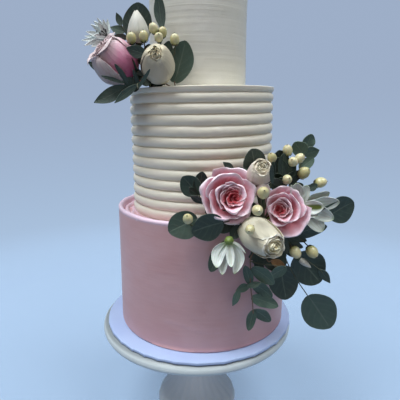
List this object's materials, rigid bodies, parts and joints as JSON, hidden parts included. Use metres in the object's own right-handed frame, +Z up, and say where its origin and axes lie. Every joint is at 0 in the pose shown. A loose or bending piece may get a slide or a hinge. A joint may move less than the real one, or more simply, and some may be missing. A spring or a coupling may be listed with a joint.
{
  "type": "tiered wedding cake",
  "caption": "Round tiered wedding cake with smooth and ridged frosting, on a board and pedestal stand, trimmed with sprays of roses, lilies, berries and leaves",
  "frame": {"origin": "centre of the flat underside of the stand's foot, on the surface it stands on", "axes": "+Z is up through the tiers, -Y is the front, where the sprays are best seen, +X is to the right seen from the front"},
  "size_m": [0.3145, 0.2764, 0.5947],
  "materials": {
    "stand": "cream glaze, glossy",
    "board": "smooth white wrap, satin",
    "pink_frosting": "smooth buttercream, satin",
    "ivory_frosting": "smooth buttercream, satin",
    "pink_petal": "soft petals, matte",
    "ivory_petal": "soft petals, matte",
    "white_petal": "thin petals, matte",
    "ivory_berry": "smooth skin, satin",
    "green_leaf": "waxy leaf, matte",
    "dried_leaf": "dry, matte"
  },
  "bodies": {
    "root": {"stand": "stand", "board": "board", "bottom_tier": "pink_frosting", "middle_tier": "ivory_frosting", "top_tier": "ivory_frosting", "rose_left": "pink_petal", "rose_right": "pink_petal", "rose_ivory": "ivory_petal", "rose_blush": "ivory_petal", "rose_top_pink": "pink_petal", "rose_top_white": "ivory_petal", "bud_top_white": "white_petal", "bud_blush_low": "pink_petal", "bud_slender": "white_petal", "berry_right_1": "ivory_berry", "berry_right_2": "ivory_berry", "berry_right_3": "ivory_berry", "berry_right_4": "ivory_berry", "berry_right_5": "ivory_berry", "berry_right_6": "ivory_berry", "berry_right_7": "ivory_berry", "berry_right_8": "ivory_berry", "berry_right_9": "ivory_berry", "berry_right_10": "ivory_berry", "berry_right_11": "ivory_berry", "berry_right_12": "ivory_berry", "berry_left": "ivory_berry", "berry_top_1": "ivory_berry", "berry_top_2": "ivory_berry", "berry_top_3": "ivory_berry", "berry_top_4": "ivory_berry", "berry_top_5": "ivory_berry", "berry_top_6": "ivory_berry", "lily_hanging": "white_petal", "lily_right": "white_petal", "flower_star": "white_petal", "sprig_left_high": "green_leaf", "sprig_left_low": "green_leaf", "sprig_left_big": "green_leaf", "leaf_low_left": "green_leaf", "leaf_mid_high": "green_leaf", "sprig_mid_small": "green_leaf", "sprig_right_high": "green_leaf", "sprig_inner": "green_leaf", "leaf_right_round": "green_leaf", "leaf_right_low": "green_leaf", "sprig_right_big": "green_leaf", "sprig_low_round": "green_leaf", "leaf_low_dark": "green_leaf", "sprig_hanging": "green_leaf", "leaf_dried": "dried_leaf", "leaf_top_bend": "green_leaf", "leaf_top_tall": "green_leaf", "leaf_top_round": "green_leaf", "sprig_top_small": "green_leaf", "leaf_top_berry": "green_leaf", "sprig_top_low": "green_leaf", "sprig_top_cross": "green_leaf", "leaf_top_tip": "green_leaf"}
  },
  "joints": []
}
